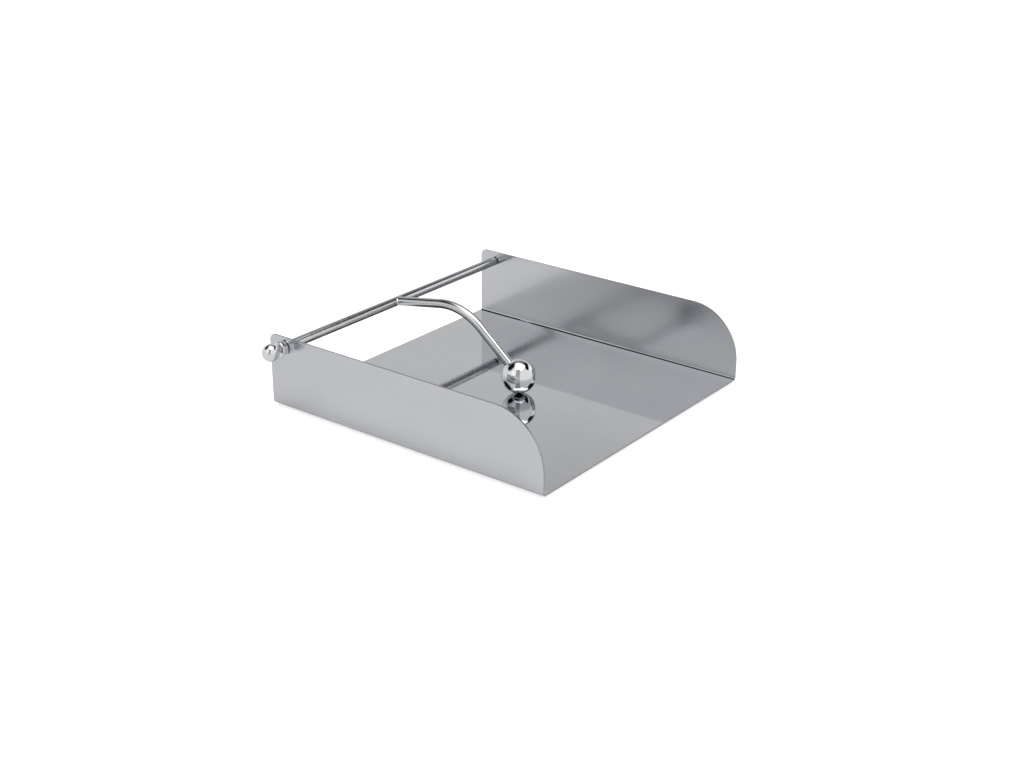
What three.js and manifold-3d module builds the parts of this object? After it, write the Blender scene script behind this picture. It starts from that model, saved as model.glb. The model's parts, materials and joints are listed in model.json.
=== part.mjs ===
// Flat napkin holder: a tray folded from one steel sheet, open at the front and the back, with a
// weighted arm that swings on a crossbar and holds the stack of napkins down with a steel ball.
//
// Millimetres. X runs along the crossbar, -Y is the open front, +Z is up. The table is Z = 0, and
// X = 0 is halfway between the crossbar's two outer ends, a little left of the tray's middle.

import * as THREE from "three";
import { mergeVertices } from "three/addons/utils/BufferGeometryUtils.js";
import Module from "manifold-3d";

const wasm = await Module();
wasm.setup();

// Driving dimensions

const GAP = 0.3; // clearance kept between neighbouring pieces

const TRAY_WIDTH = 190;
const TRAY_DEPTH = 190;
const WALL_HEIGHT = 42.6; // from the underside of the floor
const SHEET = 1;
const BEND_OUTER_RADIUS = 2;
const FRONT_ARC_RADIUS = 31;
const BACK_CORNER_RADIUS = 4;

const FOOT_RADIUS = 5;
const FOOT_TREAD_RADIUS = 3.6;
const FOOT_HEIGHT = 1.5;
const FOOT_INSET = 15; // foot centre from the tray's edges

const PIVOT_FROM_BACK = 10.8;
const PIVOT_BELOW_TOP = 6.2;
const ROD_RADIUS = 2.75;
const NECK_RADIUS = 1.7; // the crossbar's turned-down ends, which pass through the walls
const SHOULDER_GAP = 0.8; // from each shoulder of the crossbar to the wall

const COLLAR_RADIUS = 4.2;
const COLLAR_LENGTH = 4;
const COLLAR_EDGE_RADIUS = 0.7;
const END_BALL_RADIUS = 5;
const END_BALL_OFFSET = 10.2; // centre of the end ball from the wall
const CAP_RADIUS = 4.5;
const CAP_LENGTH = 2.4;

const ARM_RISE = THREE.MathUtils.degToRad(10);
const ARM_CORNER_REACH = 51; // from the crossbar to where the arm's two straights would cross
const ARM_BEND_RADIUS = 38;
const BALL_RADIUS = 10;
const BALL_FROM_FRONT = 87.8; // centre of the weight ball from the tray's front edge

// Sizes that follow

const TRAY_BASE = FOOT_HEIGHT + GAP;
const TRAY_TOP = TRAY_BASE + WALL_HEIGHT;
const LEFT_REACH = TRAY_WIDTH / 2 + END_BALL_OFFSET + END_BALL_RADIUS;
const RIGHT_REACH = TRAY_WIDTH / 2 + GAP + CAP_LENGTH;
const TRAY_X = (LEFT_REACH - RIGHT_REACH) / 2;
const LEFT_WALL = TRAY_X - TRAY_WIDTH / 2;
const RIGHT_WALL = TRAY_X + TRAY_WIDTH / 2;
const HOLE_RADIUS = NECK_RADIUS + GAP;
const PIVOT = new THREE.Vector3(TRAY_X, TRAY_DEPTH / 2 - PIVOT_FROM_BACK, TRAY_TOP - PIVOT_BELOW_TOP);
const BALL_CENTRE = new THREE.Vector3(
  TRAY_X,
  BALL_FROM_FRONT - TRAY_DEPTH / 2,
  TRAY_BASE + SHEET + GAP + BALL_RADIUS,
);

// Materials

const steel = (colour, roughness) =>
  new THREE.MeshStandardMaterial({ color: colour, roughness, metalness: 1 });

const satinSteel = steel(0xb4b6ba, 0.22);
const rodSteel = steel(0xb9bbbe, 0.2);
const chrome = steel(0xdcdde0, 0.05);
const darkRubber = new THREE.MeshStandardMaterial({ color: 0x1c1c1e, roughness: 0.85, metalness: 0 });

// Solids

// A closed three.js geometry as a manifold-3d solid.
function solidOf(geometry) {
  const bare = geometry.index ? geometry.toNonIndexed() : geometry;
  const position = bare.getAttribute("position");
  const merged = mergeVertices(new THREE.BufferGeometry().setAttribute("position", position), 1e-4);
  const faces = [];
  for (let i = 0; i < merged.index.count; i += 3) {
    const [a, b, c] = [0, 1, 2].map((k) => merged.index.getX(i + k));
    if (a !== b && b !== c && c !== a) faces.push(a, b, c);
  }
  return new wasm.Manifold(
    new wasm.Mesh({
      numProp: 3,
      vertProperties: merged.getAttribute("position").array,
      triVerts: new Uint32Array(faces),
    }),
  );
}

// A manifold-3d solid as a three.js geometry.
function geometryOf(solid) {
  const mesh = solid.getMesh();
  const geometry = new THREE.BufferGeometry();
  geometry.setAttribute("position", new THREE.BufferAttribute(new Float32Array(mesh.vertProperties), 3));
  geometry.setIndex(new THREE.BufferAttribute(new Uint32Array(mesh.triVerts), 1));
  geometry.computeVertexNormals();
  return geometry;
}

const X_AXIS = new THREE.Vector3(1, 0, 0);
const Y_AXIS = new THREE.Vector3(0, 1, 0);
const Z_AXIS = new THREE.Vector3(0, 0, 1);

// A shape drawn in (first, second) row axes and pushed along the third, centred on 0 there.
function extruded(shape, depth, curveSegments, first, second) {
  const geometry = new THREE.ExtrudeGeometry(shape, { depth, curveSegments, bevelEnabled: false });
  geometry.translate(0, 0, -depth / 2);
  const third = new THREE.Vector3().crossVectors(first, second);
  return geometry.applyMatrix4(new THREE.Matrix4().makeBasis(first, second, third));
}

// A profile of [radius, distance along the axis] points, turned about +Y.
function turned(profile, segments) {
  return new THREE.LatheGeometry(
    profile.map(([radius, along]) => new THREE.Vector2(radius, along)),
    segments,
  );
}

// The same, turned about +X.
function turnedAlongX(profile, segments) {
  return turned(profile, segments).rotateZ(-Math.PI / 2);
}

// Points of an arc about (centreRadius, centreAlong), with angles from the axis direction.
function arc(centreRadius, centreAlong, radius, from, to, steps) {
  return Array.from({ length: steps + 1 }, (_, i) => {
    const angle = from + ((to - from) * i) / steps;
    return [centreRadius + radius * Math.sin(angle), centreAlong + radius * Math.cos(angle)];
  });
}

function part(name, geometry, material) {
  const mesh = new THREE.Mesh(geometry, material);
  mesh.name = name;
  return mesh;
}

// The tray: floor and two walls in one folded sheet, with a pivot hole in each wall

// The folded section across the tray, in (X, Z).
function foldedSection() {
  const half = TRAY_WIDTH / 2;
  const inner = half - SHEET;
  const outerBend = BEND_OUTER_RADIUS;
  const innerBend = BEND_OUTER_RADIUS - SHEET;
  const bend = half - outerBend;
  const shape = new THREE.Shape();
  shape.moveTo(-half, WALL_HEIGHT);
  shape.lineTo(-half, outerBend);
  shape.absarc(-bend, outerBend, outerBend, Math.PI, 1.5 * Math.PI, false);
  shape.lineTo(bend, 0);
  shape.absarc(bend, outerBend, outerBend, 1.5 * Math.PI, 2 * Math.PI, false);
  shape.lineTo(half, WALL_HEIGHT);
  shape.lineTo(inner, WALL_HEIGHT);
  shape.lineTo(inner, outerBend);
  shape.absarc(bend, outerBend, innerBend, 0, -0.5 * Math.PI, true);
  shape.lineTo(-bend, SHEET);
  shape.absarc(-bend, outerBend, innerBend, 1.5 * Math.PI, Math.PI, true);
  shape.closePath();
  return shape;
}

// The outline of the walls seen from the side, in (Y, Z).
function wallOutline() {
  const half = TRAY_DEPTH / 2;
  const shape = new THREE.Shape();
  shape.moveTo(-half, -SHEET);
  shape.lineTo(half, -SHEET);
  shape.lineTo(half, WALL_HEIGHT - BACK_CORNER_RADIUS);
  shape.absarc(
    half - BACK_CORNER_RADIUS,
    WALL_HEIGHT - BACK_CORNER_RADIUS,
    BACK_CORNER_RADIUS,
    0,
    Math.PI / 2,
    false,
  );
  shape.lineTo(FRONT_ARC_RADIUS - half, WALL_HEIGHT);
  shape.absarc(
    FRONT_ARC_RADIUS - half,
    WALL_HEIGHT - FRONT_ARC_RADIUS,
    FRONT_ARC_RADIUS,
    Math.PI / 2,
    Math.PI,
    false,
  );
  shape.closePath();
  return shape;
}

function tray() {
  const folded = solidOf(extruded(foldedSection(), TRAY_DEPTH + 2 * SHEET, 4, X_AXIS, Z_AXIS));
  const outline = solidOf(extruded(wallOutline(), TRAY_WIDTH + 2 * SHEET, 12, Y_AXIS, Z_AXIS));
  const holes = new THREE.CylinderGeometry(HOLE_RADIUS, HOLE_RADIUS, TRAY_WIDTH + 2 * SHEET, 24);
  holes.rotateZ(Math.PI / 2);
  holes.translate(0, PIVOT.y, WALL_HEIGHT - PIVOT_BELOW_TOP);
  const solid = folded.intersect(outline).subtract(solidOf(holes));
  const mesh = part("tray", geometryOf(solid), satinSteel);
  mesh.position.set(TRAY_X, 0, TRAY_BASE);
  return mesh;
}

// A stick-on rubber foot, narrower at the tread.
function foot(name, x, y) {
  const profile = [
    [0, 0],
    [FOOT_TREAD_RADIUS, 0],
    [FOOT_RADIUS - 0.4, FOOT_HEIGHT * 0.4],
    [FOOT_RADIUS, FOOT_HEIGHT * 0.8],
    [FOOT_RADIUS, FOOT_HEIGHT],
    [0, FOOT_HEIGHT],
  ];
  const mesh = part(name, geometryOf(solidOf(turned(profile, 24).rotateX(Math.PI / 2))), darkRubber);
  mesh.position.set(x, y, 0);
  return mesh;
}

// The crossbar and what sits on its ends

const LEFT_NECK_END = LEFT_WALL - END_BALL_OFFSET + GAP;
const RIGHT_NECK_END = RIGHT_WALL + GAP + CAP_LENGTH / 2;

// A rod between the walls, stepped down to a neck at each end.
function crossbar() {
  const leftShoulder = LEFT_WALL + SHEET + SHOULDER_GAP;
  const rightShoulder = RIGHT_WALL - SHEET - SHOULDER_GAP;
  const profile = [
    [0, LEFT_NECK_END],
    [NECK_RADIUS, LEFT_NECK_END],
    [NECK_RADIUS, leftShoulder],
    [ROD_RADIUS, leftShoulder],
    [ROD_RADIUS, rightShoulder],
    [NECK_RADIUS, rightShoulder],
    [NECK_RADIUS, RIGHT_NECK_END],
    [0, RIGHT_NECK_END],
  ];
  const mesh = part("crossbar", geometryOf(solidOf(turnedAlongX(profile, 24))), rodSteel);
  mesh.position.set(0, PIVOT.y, PIVOT.z);
  return mesh;
}

// A short collar with rounded edges on the left neck, outside the wall.
function collar() {
  const inner = LEFT_WALL - GAP;
  const outer = inner - COLLAR_LENGTH;
  const edge = COLLAR_EDGE_RADIUS;
  const rim = COLLAR_RADIUS - edge;
  const profile = [
    [HOLE_RADIUS, outer],
    ...arc(rim, outer + edge, edge, Math.PI, Math.PI / 2, 6),
    ...arc(rim, inner - edge, edge, Math.PI / 2, 0, 6),
    [HOLE_RADIUS, inner],
    [HOLE_RADIUS, outer],
  ];
  const mesh = part("crossbar_collar", geometryOf(solidOf(turnedAlongX(profile, 32))), chrome);
  mesh.position.set(0, PIVOT.y, PIVOT.z);
  return mesh;
}

// A ball with a blind socket along one direction, centred on 0.
function socketBall(radius, socketRadius, direction, rings, segments) {
  const outside = turned(arc(0, 0, radius, Math.PI, 0, rings), segments);
  const socket = new THREE.CylinderGeometry(socketRadius, socketRadius, 2 * radius, 24);
  socket.translate(0, radius, 0);
  socket.applyQuaternion(new THREE.Quaternion().setFromUnitVectors(Y_AXIS, direction));
  return geometryOf(solidOf(outside).subtract(solidOf(socket)));
}

function endBall() {
  const mesh = part("crossbar_ball", socketBall(END_BALL_RADIUS, HOLE_RADIUS, X_AXIS, 16, 24), chrome);
  mesh.position.set(LEFT_WALL - END_BALL_OFFSET, PIVOT.y, PIVOT.z);
  return mesh;
}

// A low domed cap on the right neck, with a blind bore.
function endCap() {
  const inner = RIGHT_WALL + GAP;
  const outer = inner + CAP_LENGTH;
  const dome = 1.4;
  const boreEnd = RIGHT_NECK_END + GAP;
  const profile = [
    [HOLE_RADIUS, boreEnd],
    [HOLE_RADIUS, inner],
    [CAP_RADIUS, inner],
    ...arc(CAP_RADIUS - dome, outer - dome, dome, Math.PI / 2, 0, 6),
    [0, outer],
    [0, boreEnd],
    [HOLE_RADIUS, boreEnd],
  ];
  const mesh = part("crossbar_cap", geometryOf(solidOf(turnedAlongX(profile, 24))), chrome);
  mesh.position.set(0, PIVOT.y, PIVOT.z);
  return mesh;
}

// The arm: a rod bent once, welded to the crossbar, with its lower end in the weight ball

// A straight rise, a bend and a straight fall, in the plane X = 0, at a steady speed.
class BentLine extends THREE.Curve {
  constructor(start, corner, end, bendRadius) {
    super();
    this.start = start;
    this.rise = new THREE.Vector3().subVectors(corner, start).normalize();
    this.fall = new THREE.Vector3().subVectors(end, corner).normalize();
    this.turn = this.rise.angleTo(this.fall);
    this.bendRadius = bendRadius;
    const tangent = bendRadius * Math.tan(this.turn / 2);
    this.riseLength = start.distanceTo(corner) - tangent;
    this.bendLength = bendRadius * this.turn;
    this.length = this.riseLength + this.bendLength + corner.distanceTo(end) - tangent;
  }

  getPoint(t, target = new THREE.Vector3()) {
    const along = t * this.length;
    const inRise = Math.min(along, this.riseLength);
    const inBend = THREE.MathUtils.clamp(along - this.riseLength, 0, this.bendLength);
    const inFall = Math.max(along - this.riseLength - this.bendLength, 0);
    const angle = inBend / this.bendRadius;
    const inward = new THREE.Vector3().crossVectors(X_AXIS, this.rise);
    return target
      .copy(this.start)
      .addScaledVector(this.rise, inRise + this.bendRadius * Math.sin(angle))
      .addScaledVector(inward, this.bendRadius * (1 - Math.cos(angle)))
      .addScaledVector(this.fall, inFall);
  }
}

const ARM_CORNER = new THREE.Vector3(
  TRAY_X,
  PIVOT.y - ARM_CORNER_REACH * Math.cos(ARM_RISE),
  PIVOT.z + ARM_CORNER_REACH * Math.sin(ARM_RISE),
);
const TO_CORNER = new THREE.Vector3().subVectors(ARM_CORNER, BALL_CENTRE).normalize();

// The arm ends just short of the bottom of the ball's socket.
function arm() {
  const end = BALL_CENTRE.clone().addScaledVector(TO_CORNER, GAP);
  const path = new BentLine(PIVOT, ARM_CORNER, end, ARM_BEND_RADIUS);
  const section = new THREE.Shape().absarc(0, 0, ROD_RADIUS, 0, 2 * Math.PI, false);
  const rod = new THREE.ExtrudeGeometry(section, { steps: 40, extrudePath: path, curveSegments: 10 });
  const cope = new THREE.CylinderGeometry(ROD_RADIUS + GAP, ROD_RADIUS + GAP, 6 * ROD_RADIUS, 32);
  cope.rotateZ(Math.PI / 2);
  cope.translate(PIVOT.x, PIVOT.y, PIVOT.z);
  return part("arm_rod", geometryOf(solidOf(rod).subtract(solidOf(cope))), rodSteel);
}

function weightBall() {
  const mesh = part("weight_ball", socketBall(BALL_RADIUS, ROD_RADIUS + GAP, TO_CORNER, 20, 32), chrome);
  mesh.position.copy(BALL_CENTRE);
  return mesh;
}

const group = new THREE.Group();
group.name = "napkin_holder";
group.add(tray(), crossbar(), collar(), endBall(), endCap(), arm(), weightBall());

for (const [end, y] of [
  ["front", FOOT_INSET - TRAY_DEPTH / 2],
  ["back", TRAY_DEPTH / 2 - FOOT_INSET],
]) {
  group.add(foot(`foot_${end}_left`, LEFT_WALL + FOOT_INSET, y));
  group.add(foot(`foot_${end}_right`, RIGHT_WALL - FOOT_INSET, y));
}

export default group;
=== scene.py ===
"""Flat napkin holder: polished sheet-steel tray, crossbar and ball-weighted arm, in a white studio."""

import json
import math

import bmesh
import bpy
from mathutils import Matrix, Vector


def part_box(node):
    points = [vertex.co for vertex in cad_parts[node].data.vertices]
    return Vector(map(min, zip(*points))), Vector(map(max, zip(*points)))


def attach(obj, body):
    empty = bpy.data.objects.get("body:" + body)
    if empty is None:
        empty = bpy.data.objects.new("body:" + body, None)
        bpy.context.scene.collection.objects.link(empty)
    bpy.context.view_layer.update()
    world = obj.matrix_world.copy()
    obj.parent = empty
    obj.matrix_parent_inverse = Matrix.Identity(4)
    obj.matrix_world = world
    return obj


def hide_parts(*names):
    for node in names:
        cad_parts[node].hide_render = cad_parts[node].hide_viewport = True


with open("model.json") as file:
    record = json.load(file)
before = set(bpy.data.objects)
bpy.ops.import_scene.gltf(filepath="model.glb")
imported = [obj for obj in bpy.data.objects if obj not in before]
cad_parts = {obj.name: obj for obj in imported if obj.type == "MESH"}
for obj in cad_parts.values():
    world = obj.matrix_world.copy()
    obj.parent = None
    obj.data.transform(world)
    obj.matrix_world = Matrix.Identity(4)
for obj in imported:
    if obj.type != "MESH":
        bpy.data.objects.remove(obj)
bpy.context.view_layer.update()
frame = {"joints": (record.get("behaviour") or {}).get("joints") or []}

MM = 0.001
X_AXIS = Vector((1, 0, 0))
Z_AXIS = Vector((0, 0, 1))

# ---------------------------------------------------------------- sizes, from the frame where it holds them

TRAY_LOW, TRAY_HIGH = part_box("tray")
TRAY_X = (TRAY_LOW.x + TRAY_HIGH.x) / 2
TRAY_HALF = (TRAY_HIGH.x - TRAY_LOW.x) / 2
TRAY_BASE = TRAY_LOW.z
TRAY_FRONT = TRAY_LOW.y
TRAY_BACK = TRAY_HIGH.y
WALL_HEIGHT = TRAY_HIGH.z - TRAY_LOW.z
SHEET = 1 * MM
BEND_OUTER = 2 * MM
FRONT_ARC = 31 * MM
BACK_CORNER = 4 * MM
CUT_EDGE_ROUNDING = 0.16 * MM

PIVOT = Vector(frame["joints"][0]["pos_m"])
BAR_LOW, BAR_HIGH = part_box("crossbar")
ROD = (BAR_HIGH.z - BAR_LOW.z) / 2
NECK = 1.7 * MM
SHOULDER_GAP = 0.8 * MM
HOLE = 2 * MM
BORE_PLAY = 0.05 * MM  # by which a bore's radius is larger than the rod in it

BALL_LOW, BALL_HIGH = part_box("weight_ball")
BALL_CENTRE = (BALL_LOW + BALL_HIGH) / 2
BALL = (BALL_HIGH.z - BALL_LOW.z) / 2
BORE_BOTTOM = 0.3  # height of a blind bore's bottom over the ball's centre, as a share of the ball's radius
ARM_END = 0.35  # height of the arm's end in that bore, in the same way
ARM_RISE = math.radians(10)
ARM_CORNER_REACH = 51 * MM
ARM_BEND = 38 * MM
ARM_CORNER = PIVOT + ARM_CORNER_REACH * Vector((0, -math.cos(ARM_RISE), math.sin(ARM_RISE)))
TO_CORNER = (ARM_CORNER - BALL_CENTRE).normalized()


# ---------------------------------------------------------------- mesh helpers

SHARP_ANGLE = math.radians(40)


def arc(centre_radius, centre_along, radius, start, end, steps):
    """Profile points (radius, along) of an arc, with angles in degrees from the axis direction."""
    points = []
    for i in range(steps + 1):
        angle = math.radians(start + (end - start) * i / steps)
        points.append((centre_radius + radius * math.sin(angle), centre_along + radius * math.cos(angle)))
    return points


def object_from(name, bm):
    """A smooth-shaded object from a bmesh, whose edges over SHARP_ANGLE stay sharp."""
    bmesh.ops.remove_doubles(bm, verts=bm.verts, dist=1e-7)
    bmesh.ops.recalc_face_normals(bm, faces=bm.faces)
    mesh = bpy.data.meshes.new(name)
    bm.to_mesh(mesh)
    bm.free()
    mesh.shade_smooth()
    mesh.set_sharp_from_angle(angle=SHARP_ANGLE)
    obj = bpy.data.objects.new(name, mesh)
    bpy.context.scene.collection.objects.link(obj)
    return obj


def ring_faces(bm, rings, closed=False):
    """Quads between each ring of vertices and the next, and from the last to the first if closed."""
    pairs = list(zip(rings, rings[1:]))
    if closed:
        pairs.append((rings[-1], rings[0]))
    for a, b in pairs:
        count = max(len(a), len(b))
        for i in range(count):
            j = (i + 1) % count
            corners = [a[i % len(a)], a[j % len(a)], b[j % len(b)], b[i % len(b)]]
            unique = list(dict.fromkeys(corners))
            if len(unique) > 2:
                bm.faces.new(unique)


def lathe(name, profile, centre, axis, segments=96):
    """A solid of revolution about axis through centre. A profile that ends off the axis closes on itself."""
    bm = bmesh.new()
    turn = Z_AXIS.rotation_difference(axis).to_matrix()
    rings = []
    for radius, along in profile:
        count = 1 if radius < 1e-9 else segments
        ring = []
        for i in range(count):
            angle = 2 * math.pi * i / segments
            point = Vector((radius * math.cos(angle), radius * math.sin(angle), along))
            ring.append(bm.verts.new(centre + turn @ point))
        rings.append(ring)
    ring_faces(bm, rings, closed=len(rings[0]) > 1 and len(rings[-1]) > 1)
    return object_from(name, bm)


def sweep(name, centres, radius, side, segments=48):
    """A round rod along centres. side is a direction that the rod never runs in."""
    bm = bmesh.new()
    rings = []
    for k, centre in enumerate(centres):
        before = centres[max(k - 1, 0)]
        after = centres[min(k + 1, len(centres) - 1)]
        tangent = (after - before).normalized()
        across = (side - tangent * side.dot(tangent)).normalized()
        other = tangent.cross(across)
        ring = []
        for i in range(segments):
            angle = 2 * math.pi * i / segments
            ring.append(bm.verts.new(centre + radius * (math.cos(angle) * across + math.sin(angle) * other)))
        rings.append(ring)
    ring_faces(bm, rings)
    bm.faces.new(rings[0])
    bm.faces.new(rings[-1])
    return object_from(name, bm)


def apply_modifiers(obj):
    """Replaces the object's mesh with what its modifiers make of it."""
    bpy.context.view_layer.update()
    graph = bpy.context.evaluated_depsgraph_get()
    evaluated = obj.evaluated_get(graph)
    mesh = bpy.data.meshes.new_from_object(evaluated, preserve_all_data_layers=True, depsgraph=graph)
    obj.modifiers.clear()
    obj.data = mesh


def place(obj, body, slot, material, *nodes):
    """Gives a piece its material unless it has one, ties it to its body and hides the CAD nodes that it
    stands in for. slot, the name of its finish, is not used.
    """
    if not obj.data.materials:
        obj.data.materials.append(material)
    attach(obj, body)
    if nodes:
        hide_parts(*nodes)


# ---------------------------------------------------------------- materials

class Nodes:
    """A metal, rubber or paint material under construction."""

    def __init__(self, name):
        self.material = bpy.data.materials.new(name)
        self.material.use_nodes = True
        self.tree = self.material.node_tree
        self.shader = self.tree.nodes["Principled BSDF"]
        self.place = self.tree.nodes.new("ShaderNodeTexCoord").outputs["Object"]

    def noise(self, scale, detail=3, roughness=0.5):
        """Noise whose grain is 1/scale metres long in each direction."""
        mapping = self.tree.nodes.new("ShaderNodeMapping")
        mapping.inputs["Scale"].default_value = scale
        self.tree.links.new(self.place, mapping.inputs["Vector"])
        texture = self.tree.nodes.new("ShaderNodeTexNoise")
        texture.inputs["Scale"].default_value = 1
        texture.inputs["Detail"].default_value = detail
        texture.inputs["Roughness"].default_value = roughness
        self.tree.links.new(mapping.outputs["Vector"], texture.inputs["Vector"])
        return texture.outputs["Fac"]

    def span(self, value, low, high, low_in=0.3, high_in=0.7):
        """value, spread from low to high. Nearly all noise lies between 0.3 and 0.7."""
        spread = self.tree.nodes.new("ShaderNodeMapRange")
        spread.inputs["From Min"].default_value = low_in
        spread.inputs["From Max"].default_value = high_in
        spread.inputs["To Min"].default_value = low
        spread.inputs["To Max"].default_value = high
        self.tree.links.new(value, spread.inputs["Value"])
        return spread.outputs["Result"]

    def add(self, a, b):
        sum_node = self.tree.nodes.new("ShaderNodeMath")
        sum_node.operation = "ADD"
        self.tree.links.new(a, sum_node.inputs[0])
        self.tree.links.new(b, sum_node.inputs[1])
        return sum_node.outputs["Value"]

    def uprightness(self, level, upright):
        """A value that is level on level surfaces and upright on upright ones."""
        parts = self.tree.nodes.new("ShaderNodeSeparateXYZ")
        normal = self.tree.nodes.new("ShaderNodeNewGeometry").outputs["True Normal"]
        self.tree.links.new(normal, parts.inputs["Vector"])
        size = self.tree.nodes.new("ShaderNodeMath")
        size.operation = "ABSOLUTE"
        self.tree.links.new(parts.outputs["Z"], size.inputs[0])
        return self.span(size.outputs["Value"], low=upright, high=level, low_in=0.1, high_in=0.9)

    def colour_between(self, value, dark, light):
        """A base colour that goes from dark where value is 0 to light where it is 1."""
        mix = self.tree.nodes.new("ShaderNodeMix")
        mix.data_type = "RGBA"
        mix.inputs["A"].default_value = (*dark, 1)
        mix.inputs["B"].default_value = (*light, 1)
        self.tree.links.new(value, mix.inputs["Factor"])
        self.tree.links.new(mix.outputs["Result"], self.shader.inputs["Base Color"])

    def rough(self, value):
        self.tree.links.new(value, self.shader.inputs["Roughness"])

    def bump(self, height, distance):
        bump = self.tree.nodes.new("ShaderNodeBump")
        bump.inputs["Strength"].default_value = 1
        bump.inputs["Distance"].default_value = distance
        self.tree.links.new(height, bump.inputs["Height"])
        self.tree.links.new(bump.outputs["Normal"], self.shader.inputs["Normal"])

    def metal(self):
        self.shader.inputs["Metallic"].default_value = 1


def satin_sheet():
    """Semi-bright rolled stainless, with a faint grain along the tray's depth."""
    nodes = Nodes("satin_sheet")
    nodes.metal()
    grain = nodes.noise((2600, 40, 2600), detail=4, roughness=0.6)
    cloud = nodes.noise((22, 22, 22), detail=2)
    nodes.colour_between(
        nodes.span(cloud, 0, 1), dark=(0.555, 0.562, 0.582), light=(0.580, 0.587, 0.606))
    nodes.rough(nodes.add(nodes.span(grain, -0.01, 0.01), nodes.uprightness(level=0.05, upright=0.17)))
    nodes.bump(grain, 0.0005 * MM)
    return nodes.material


def cut_edge():
    """The sheared and tumbled rim of the sheet."""
    nodes = Nodes("cut_edge")
    nodes.metal()
    marks = nodes.noise((900, 900, 900), detail=3)
    nodes.colour_between(nodes.span(marks, 0, 1), dark=(0.28, 0.283, 0.292), light=(0.36, 0.363, 0.372))
    nodes.rough(nodes.span(marks, 0.28, 0.42))
    nodes.bump(marks, 0.01 * MM)
    return nodes.material


def drawn_rod(name, scale):
    """Drawn and polished rod. scale is the grain's fineness, coarse along the rod."""
    nodes = Nodes(name)
    nodes.metal()
    grain = nodes.noise(scale, detail=3, roughness=0.6)
    cloud = nodes.noise((120, 120, 120), detail=2)
    nodes.colour_between(nodes.span(cloud, 0, 1), dark=(0.54, 0.545, 0.556), light=(0.6, 0.605, 0.617))
    nodes.rough(nodes.add(nodes.span(grain, -0.02, 0.02), nodes.span(cloud, 0.2, 0.24)))
    nodes.bump(grain, 0.001 * MM)
    nodes.shader.inputs["Specular Tint"].default_value = (0.75, 0.75, 0.77, 1)  # darkens the rod's outline
    return nodes.material


def chrome():
    """Bright plate, with the very slight ripple of polishing."""
    nodes = Nodes("chrome")
    nodes.metal()
    ripple = nodes.noise((260, 260, 260), detail=1)
    haze = nodes.noise((700, 700, 700), detail=3)
    nodes.colour_between(nodes.span(haze, 0, 1), dark=(0.67, 0.675, 0.69), light=(0.72, 0.725, 0.74))
    nodes.rough(nodes.span(haze, 0.02, 0.045))
    nodes.bump(ripple, 0.004 * MM)
    return nodes.material


def foot_rubber():
    """Black rubber with a matt, finely pitted skin."""
    nodes = Nodes("foot_rubber")
    grain = nodes.noise((2200, 2200, 2200), detail=4)
    nodes.colour_between(nodes.span(grain, 0, 1), dark=(0.010, 0.010, 0.011), light=(0.022, 0.022, 0.024))
    nodes.rough(nodes.span(grain, 0.62, 0.82))
    nodes.bump(grain, 0.03 * MM)
    return nodes.material


SATIN = satin_sheet()
CUT_EDGE = cut_edge()
BAR_STEEL = drawn_rod("bar_steel", (60, 2400, 2400))
ARM_STEEL = drawn_rod("arm_steel", (2400, 60, 60))
CHROME = chrome()
RUBBER = foot_rubber()


# ---------------------------------------------------------------- the tray

def wall_stations():
    """(y, wall height) down the tray's depth, close together round the front arc and the back corner."""
    arc_steps, corner_steps, middle_steps = 48, 12, 24
    arc_y, arc_z = TRAY_FRONT + FRONT_ARC, WALL_HEIGHT - FRONT_ARC
    corner_y, corner_z = TRAY_BACK - BACK_CORNER, WALL_HEIGHT - BACK_CORNER
    stations = []
    for i in range(arc_steps + 1):
        angle = math.pi / 2 * (1 - i / arc_steps)
        stations.append((arc_y - FRONT_ARC * math.sin(angle), arc_z + FRONT_ARC * math.cos(angle)))
    for i in range(1, middle_steps):
        stations.append((arc_y + (corner_y - arc_y) * i / middle_steps, WALL_HEIGHT))
    for i in range(corner_steps + 1):
        angle = math.pi / 2 * i / corner_steps
        stations.append((corner_y + BACK_CORNER * math.sin(angle), corner_z + BACK_CORNER * math.cos(angle)))
    return stations


def folded_section(wall_height):
    """(x, z) down the middle of the sheet, from the left wall's top to the right wall's top."""
    wall_steps, bend_steps, half_floor_steps = 10, 12, 20
    middle = SHEET / 2
    bend_x, bend_z = TRAY_HALF - BEND_OUTER, BEND_OUTER
    radius = BEND_OUTER - middle
    right_half = []
    for i in range(half_floor_steps):
        right_half.append((bend_x * i / half_floor_steps, middle))
    for i in range(bend_steps):
        angle = math.pi / 2 * i / bend_steps
        right_half.append((bend_x + radius * math.sin(angle), bend_z - radius * math.cos(angle)))
    for i in range(wall_steps + 1):
        right_half.append((bend_x + radius, bend_z + (wall_height - bend_z) * i / wall_steps))
    return [(-x, z) for x, z in reversed(right_half[1:])] + right_half


def folded_sheet():
    """The folded sheet, with its cut edges in their own material and no holes yet."""
    bm = bmesh.new()
    rows = []
    for y, wall_height in wall_stations():
        section = folded_section(wall_height)
        rows.append([bm.verts.new((TRAY_X + x, y, TRAY_BASE + z)) for x, z in section])
    for a, b in zip(rows, rows[1:]):
        for i in range(len(a) - 1):
            bm.faces.new((a[i], b[i], b[i + 1], a[i + 1]))
    obj = object_from("tray_sheet", bm)
    obj.data.materials.append(SATIN)
    obj.data.materials.append(CUT_EDGE)

    thicken = obj.modifiers.new("thicken", "SOLIDIFY")
    thicken.thickness = SHEET
    thicken.offset = 0
    thicken.use_even_offset = True
    thicken.material_offset_rim = 1
    apply_modifiers(obj)
    return obj


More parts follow.
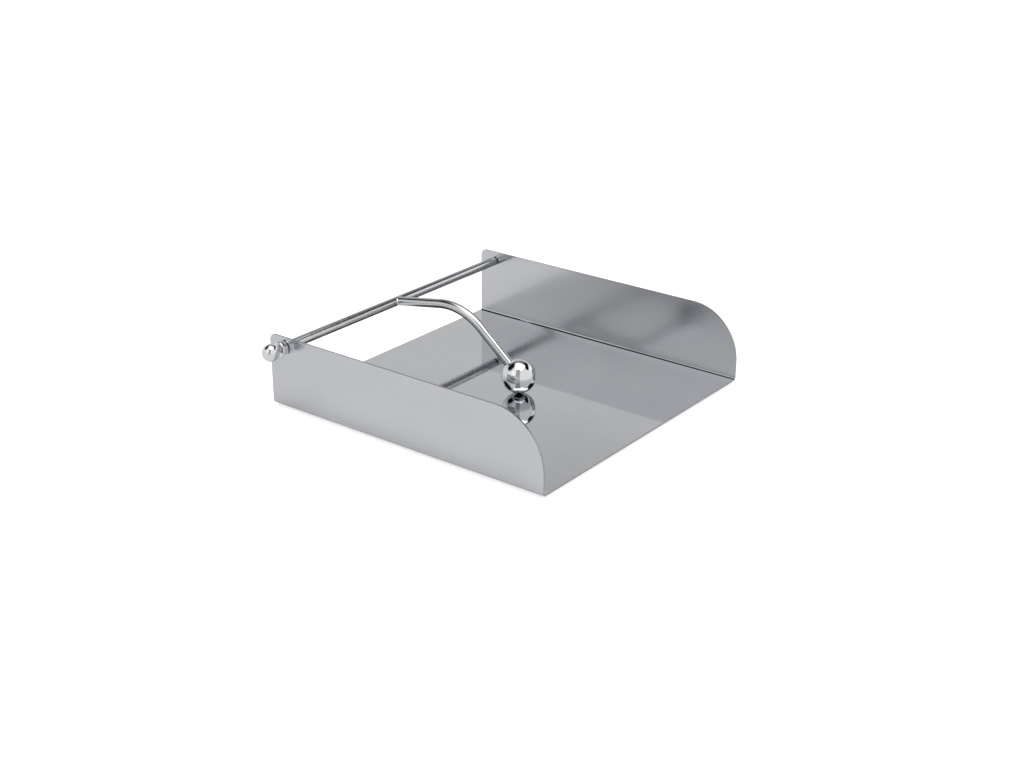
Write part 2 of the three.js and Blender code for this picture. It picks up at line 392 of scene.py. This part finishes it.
def drill_pivot_holes(obj):
    """Cuts one straight hole through both walls, on the pivot's axis."""
    reach = 1.1 * TRAY_HALF
    profile = [(0, -reach), (HOLE, -reach), (HOLE, reach), (0, reach)]
    drill = lathe("drill", profile, PIVOT, X_AXIS, segments=64)
    cut = obj.modifiers.new("holes", "BOOLEAN")
    cut.operation = "DIFFERENCE"
    cut.solver = "EXACT"
    cut.object = drill
    apply_modifiers(obj)
    bpy.data.objects.remove(drill)


def round_cut_edges(obj):
    rounding = obj.modifiers.new("cut_edges", "BEVEL")
    rounding.width = CUT_EDGE_ROUNDING
    rounding.segments = 3
    rounding.limit_method = "ANGLE"
    rounding.angle_limit = math.radians(50)
    rounding.harden_normals = True
    apply_modifiers(obj)


def tray_sheet():
    obj = folded_sheet()
    drill_pivot_holes(obj)
    round_cut_edges(obj)
    place(obj, "holder", "satin_sheet", SATIN, "tray")


def foot_profile(radius):
    """A rubber pad with a rounded shoulder over a smaller tread, and a thin glue line under the tray."""
    height = TRAY_BASE
    tread = 0.72 * radius
    tread_edge = 0.3 * MM
    shoulder = 0.35 * MM
    shoulder_top = height - 0.25 * MM
    glue_radius, glue_bottom = radius - 0.5 * MM, height - 0.2 * MM
    profile = [(0, 0), (tread - tread_edge, 0)]
    profile += arc(tread - tread_edge, tread_edge, tread_edge, 180, 110, steps=5)
    profile += arc(radius - shoulder, shoulder_top - shoulder, shoulder, 100, 0, steps=8)
    return profile + [(glue_radius, glue_bottom), (glue_radius, height), (0, height)]


def feet():
    for end in ("front", "back"):
        for side in ("left", "right"):
            node = f"foot_{end}_{side}"
            low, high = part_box(node)
            centre = Vector(((low.x + high.x) / 2, (low.y + high.y) / 2, 0))
            pad = lathe(node + "_pad", foot_profile((high.x - low.x) / 2), centre, Z_AXIS, segments=72)
            place(pad, "holder", "foot_rubber", RUBBER, node)


# ---------------------------------------------------------------- the crossbar and its ends

def crossbar():
    round_over = 0.35 * MM
    left_shoulder = TRAY_LOW.x + SHEET + SHOULDER_GAP - PIVOT.x
    right_shoulder = TRAY_HIGH.x - SHEET - SHOULDER_GAP - PIVOT.x
    left_end, right_end = BAR_LOW.x - PIVOT.x, BAR_HIGH.x - PIVOT.x
    profile = [(0, left_end), (NECK, left_end), (NECK, left_shoulder)]
    profile += arc(ROD - round_over, left_shoulder + round_over, round_over, 180, 90, steps=5)
    profile += arc(ROD - round_over, right_shoulder - round_over, round_over, 90, 0, steps=5)
    profile += [(NECK, right_shoulder), (NECK, right_end), (0, right_end)]
    rod = lathe("crossbar_rod", profile, PIVOT, X_AXIS, segments=64)
    place(rod, "swing_arm", "polished_rod", BAR_STEEL, "crossbar")


def collar():
    low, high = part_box("crossbar_collar")
    edge = 0.7 * MM
    rim = (high.z - low.z) / 2 - edge
    outer, inner = low.x - PIVOT.x, high.x - PIVOT.x
    bore = NECK + BORE_PLAY
    profile = [(bore, outer)]
    profile += arc(rim, outer + edge, edge, 180, 90, steps=8)
    profile += arc(rim, inner - edge, edge, 90, 0, steps=8)
    profile += [(bore, inner)]
    ring = lathe("collar_ring", profile, PIVOT, X_AXIS)
    place(ring, "swing_arm", "chrome", CHROME, "crossbar_collar")


def drilled_ball(name, centre, radius, bore, axis):
    """A ball with a blind bore that opens towards axis, with its rim broken."""
    rim = 0.2 * MM
    rim_angle = math.degrees(math.asin((bore + rim) / radius))
    mouth = math.sqrt(radius ** 2 - (bore + rim) ** 2)
    bottom = BORE_BOTTOM * radius
    profile = [(0, bottom), (bore, bottom), (bore, mouth - rim)]
    profile += arc(0, 0, radius, rim_angle, 180, steps=64)
    return lathe(name, profile, centre, axis)


def end_ball():
    low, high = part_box("crossbar_ball")
    radius = (high.z - low.z) / 2
    centre = Vector((low.x + radius, PIVOT.y, PIVOT.z))
    ball = drilled_ball("end_ball", centre, radius, NECK + BORE_PLAY, X_AXIS)
    place(ball, "swing_arm", "chrome", CHROME, "crossbar_ball")


def end_cap():
    low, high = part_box("crossbar_cap")
    radius = (high.z - low.z) / 2
    inner, outer = low.x - PIVOT.x, high.x - PIVOT.x
    dome = 1.4 * MM
    inner_edge = 0.2 * MM
    bore = NECK + BORE_PLAY
    bore_end = BAR_HIGH.x - PIVOT.x
    profile = [(0, bore_end), (bore, bore_end), (bore, inner)]
    profile += arc(radius - inner_edge, inner + inner_edge, inner_edge, 180, 90, steps=4)
    profile += arc(radius - dome, outer - dome, dome, 90, 0, steps=14) + [(0, outer)]
    cap = lathe("end_cap", profile, PIVOT, X_AXIS)
    place(cap, "swing_arm", "chrome", CHROME, "crossbar_cap")


# ---------------------------------------------------------------- the arm and its ball

def arm_line(start, corner, end, bend_radius, bend_steps=40):
    """Points of a straight, a bend and a straight, in the plane square to X."""
    rise = (corner - start).normalized()
    fall = (end - corner).normalized()
    turn = rise.angle(fall)
    tangent = bend_radius * math.tan(turn / 2)
    bend_start = corner - rise * tangent
    inward = X_AXIS.cross(rise)
    points = [start]
    for i in range(bend_steps + 1):
        angle = turn * i / bend_steps
        points.append(bend_start + bend_radius * (math.sin(angle) * rise + (1 - math.cos(angle)) * inward))
    points.append(end)
    return points


def arm():
    end = BALL_CENTRE + TO_CORNER * ARM_END * BALL
    rod = sweep("arm_bent_rod", arm_line(PIVOT, ARM_CORNER, end, ARM_BEND), ROD, X_AXIS)
    place(rod, "swing_arm", "polished_rod", ARM_STEEL, "arm_rod")


def fillet_section(side, out, turn, radius, steps=8):
    """Points round the section of a weld fillet, which lies in the crease between arm and crossbar."""
    buried = 0.8 * ROD
    up = X_AXIS.cross(out)
    level, height = math.cos(turn), math.sin(turn)
    centre = PIVOT + (ROD + radius) * (level * side + height * up + level * out)
    to_arm = -(level * side + height * up)
    to_bar = -(level * out + height * up)
    points = [PIVOT + buried * (level * side + height * up + level * out)]
    for k in range(steps + 1):
        points.append(centre + radius * to_arm.slerp(to_bar, k / steps))
    return points


def arm_weld():
    """The dressed fillets that fill the crease on each side of the arm's end, where it meets the crossbar."""
    fillet = 1.3 * MM
    steps = 48
    out = Vector((0, -math.cos(ARM_RISE), math.sin(ARM_RISE)))
    for name, side in (("arm_weld_left", -X_AXIS), ("arm_weld_right", X_AXIS)):
        bm = bmesh.new()
        rings = []
        for i in range(1, steps):
            section = fillet_section(side, out, math.pi * (i / steps - 0.5), fillet)
            rings.append([bm.verts.new(point) for point in section])
        ring_faces(bm, rings)
        bm.faces.new(rings[0])
        bm.faces.new(rings[-1])
        place(object_from(name, bm), "swing_arm", "polished_rod", BAR_STEEL)


def weight_ball():
    ball = drilled_ball("weight_ball_chrome", BALL_CENTRE, BALL, ROD + BORE_PLAY, TO_CORNER)
    place(ball, "swing_arm", "chrome", CHROME, "weight_ball")


tray_sheet()
feet()
crossbar()
collar()
end_ball()
end_cap()
arm()
arm_weld()
weight_ball()


# ---------------------------------------------------------------- studio

def table():
    """A white table. The camera sees it a little overexposed, and the metal reflects it as it is."""
    half_width = 4
    drop = 0.05 * MM  # below the feet, so that no face of theirs lies in its plane
    bm = bmesh.new()
    corners = [(half_width, half_width), (-half_width, half_width)]
    corners += [(-half_width, -half_width), (half_width, -half_width)]
    bm.faces.new([bm.verts.new((x, y, -drop)) for x, y in corners])
    floor = object_from("table_top", bm)

    nodes = Nodes("table_white")
    seen = nodes.tree.nodes.new("ShaderNodeLightPath").outputs["Is Camera Ray"]
    nodes.colour_between(seen, dark=(0.8, 0.8, 0.805), light=(0.6, 0.6, 0.6))
    glow = nodes.span(seen, low=0, high=0.68, low_in=0, high_in=1)
    nodes.tree.links.new(glow, nodes.shader.inputs["Emission Strength"])
    nodes.shader.inputs["Emission Color"].default_value = (1, 1, 1, 1)
    nodes.shader.inputs["Roughness"].default_value = 1
    nodes.shader.inputs["Specular IOR Level"].default_value = 0
    floor.data.materials.append(nodes.material)


def direction_to(azimuth, elevation):
    """The direction at an azimuth, from X towards Y, and an elevation, both in radians."""
    level = math.cos(elevation)
    return Vector((math.cos(azimuth) * level, math.sin(azimuth) * level, math.sin(elevation)))


class Room:
    """The studio around the table: a world of even white, with soft-edged patches laid over it in turn."""

    def __init__(self):
        self.world = bpy.data.worlds.new("light_tent")
        self.world.use_nodes = True
        self.tree = self.world.node_tree
        self.direction = self.tree.nodes.new("ShaderNodeTexCoord").outputs["Generated"]
        even_white = self.tree.nodes.new("ShaderNodeValue")
        even_white.outputs["Value"].default_value = 1
        self.light = even_white.outputs["Value"]

    def patch(self, azimuth, elevation, radius, edge, level):
        """Light of the given level inside radius of a direction, fading out over edge. All in degrees."""
        dot = self.tree.nodes.new("ShaderNodeVectorMath")
        dot.operation = "DOT_PRODUCT"
        dot.inputs[1].default_value = direction_to(math.radians(azimuth), math.radians(elevation))
        self.tree.links.new(self.direction, dot.inputs[0])
        cover = self.tree.nodes.new("ShaderNodeMapRange")
        cover.interpolation_type = "SMOOTHSTEP"
        cover.inputs["From Min"].default_value = math.cos(math.radians(radius + edge))
        cover.inputs["From Max"].default_value = math.cos(math.radians(radius))
        self.tree.links.new(dot.outputs["Value"], cover.inputs["Value"])
        mix = self.tree.nodes.new("ShaderNodeMix")
        self.tree.links.new(cover.outputs["Result"], mix.inputs["Factor"])
        self.tree.links.new(self.light, mix.inputs["A"])
        mix.inputs["B"].default_value = level
        self.light = mix.outputs["Result"]

    def finish(self):
        """Only reflections and shading see the room. The camera sees plain white behind the table."""
        background = self.tree.nodes["Background"]
        self.tree.links.new(self.light, background.inputs["Strength"])
        background.inputs["Color"].default_value = (1, 1, 1, 1)
        white = self.tree.nodes.new("ShaderNodeBackground")
        white.inputs["Color"].default_value = (1, 1, 1, 1)
        choose = self.tree.nodes.new("ShaderNodeMixShader")
        seen = self.tree.nodes.new("ShaderNodeLightPath").outputs["Is Camera Ray"]
        self.tree.links.new(seen, choose.inputs["Fac"])
        self.tree.links.new(background.outputs["Background"], choose.inputs[1])
        self.tree.links.new(white.outputs["Background"], choose.inputs[2])
        output = self.tree.nodes["World Output"]
        self.tree.links.new(choose.outputs["Shader"], output.inputs["Surface"])
        bpy.context.scene.world = self.world


def room_around():
    """The room that the steel reflects. X is right and Y is back. Later patches cover earlier ones."""
    room = Room()

    # The back right and the right, part of which the tray's floor mirrors to the camera.
    room.patch(azimuth=38, elevation=5, radius=32, edge=20, level=0.75)
    room.patch(azimuth=38, elevation=45, radius=5, edge=18, level=0.35)
    room.patch(azimuth=8, elevation=42, radius=4, edge=18, level=0.25)

    # Bright areas on the right, the left and the back left.
    room.patch(azimuth=-22, elevation=25, radius=12, edge=10, level=1.25)
    room.patch(azimuth=174, elevation=38, radius=12, edge=10, level=1.25)
    room.patch(azimuth=147, elevation=20, radius=8, edge=10, level=1.05)

    # Dark openings about 45 degrees up, from the back left round to the front right.
    for azimuth, elevation, level in ((70, 46, 0.1), (15, 47, 0.25), (-5, 46, 0.1)):
        room.patch(azimuth, elevation, radius=5, edge=10, level=level)
    room.patch(azimuth=120, elevation=42, radius=8, edge=13, level=0.3)
    room.patch(azimuth=105, elevation=46, radius=16, edge=8, level=0.01)
    for azimuth, elevation in ((-45, 44), (-37, 45), (-29, 45), (-21, 45), (-13, 44), (-6, 42)):
        room.patch(azimuth, elevation, radius=8, edge=5, level=0.01)

    # A small grey spot low at the back left, and a grey column on the left, beside the camera.
    room.patch(azimuth=148.5, elevation=15, radius=3, edge=5, level=0.6)
    for elevation in range(-15, 60, 6):
        room.patch(azimuth=209, elevation=elevation, radius=7, edge=9, level=0.45)

    room.finish()


def softbox(name, direction, distance, width, height, power):
    """An area light in a direction from the weight ball, facing it, with its power in watts."""
    direction = Vector(direction).normalized()
    light = bpy.data.lights.new(name, "AREA")
    light.shape = "RECTANGLE"
    light.size, light.size_y = width, height
    light.energy = power
    obj = bpy.data.objects.new(name, light)
    obj.location = BALL_CENTRE + direction * distance
    obj.rotation_mode = "QUATERNION"
    obj.rotation_quaternion = direction.to_track_quat("Z", "Y")
    obj.visible_camera = False
    bpy.context.scene.collection.objects.link(obj)
    return obj


def studio():
    room_around()
    bpy.context.scene.view_settings.view_transform = "Standard"
    table()
    softbox("overhead", (0.03, -0.08, 1), distance=1.5, width=1.3, height=1.3, power=10)
    fill = softbox("fill", (-1, -1, 0.9), distance=1.2, width=0.8, height=0.8, power=2.5)
    fill.visible_glossy = False


def camera():
    """The photograph's camera, from its perspective. The azimuth is from the front towards the right."""
    azimuth, elevation, roll = math.radians(-52.568), math.radians(23.256), math.radians(0.243)
    distance = 871.759 * MM
    target = Vector((TRAY_X, 0, TRAY_BASE)) + Vector((-19.181, -16.948, 15.45)) * MM
    back = direction_to(azimuth - math.pi / 2, elevation)
    data = bpy.data.cameras.new("camera")
    data.sensor_width = 36
    data.lens = 54.84
    obj = bpy.data.objects.new("camera", data)
    upright = back.to_track_quat("Z", "Y")
    obj.rotation_mode = "QUATERNION"
    obj.rotation_quaternion = upright @ Matrix.Rotation(roll, 3, "Z").to_quaternion()
    obj.location = target + back * distance
    bpy.context.scene.collection.objects.link(obj)
    bpy.context.scene.camera = obj


studio()
camera()
